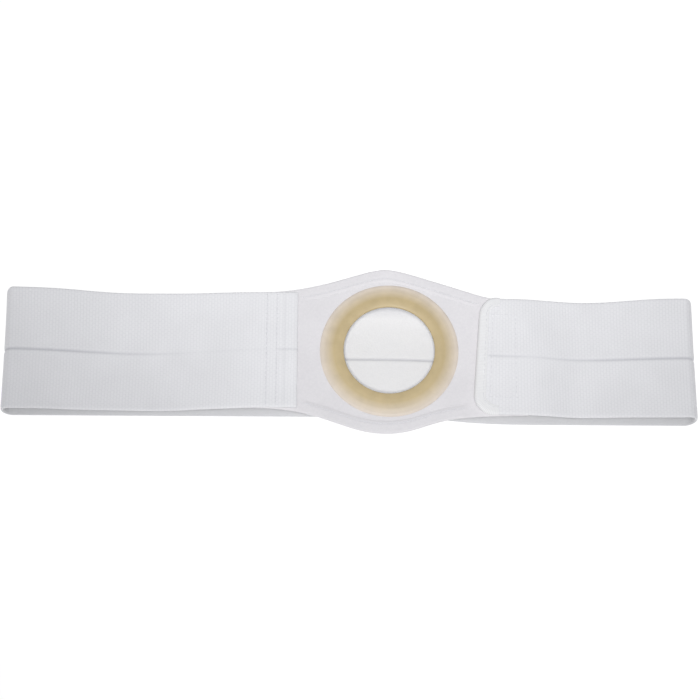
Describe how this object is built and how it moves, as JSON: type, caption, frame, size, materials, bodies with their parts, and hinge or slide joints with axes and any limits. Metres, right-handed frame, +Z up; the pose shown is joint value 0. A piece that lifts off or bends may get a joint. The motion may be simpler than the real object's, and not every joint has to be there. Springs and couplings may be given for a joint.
{
  "type": "ostomy support belt",
  "caption": "Wide white elastic belt in a closed loop, its front panel swelling round a rubber-ringed opening for an ostomy pouch, the rounded flap held by hooks.",
  "frame": {"origin": "on the ground under the middle of the lying belt", "axes": "+X along the belt towards the fold on the flap's side, +Y towards the upper edge when worn, +Z up and out of the front"},
  "size_m": [0.4358, 0.1083, 0.0286],
  "materials": {
    "elastic": "white woven elastic, fine ribs, matt",
    "panel_cloth": "white brushed loop cloth with a turned hem",
    "ring_rubber": "amber moulded rubber, satin",
    "binding_tape": "smooth white binding tape",
    "hook_tape": "white hook tape"
  },
  "bodies": {
    "root": {"elastic_band": "elastic", "front_panel": "panel_cloth", "support_ring": "ring_rubber", "flap_binding": "binding_tape", "hook_patch": "hook_tape"}
  },
  "joints": []
}
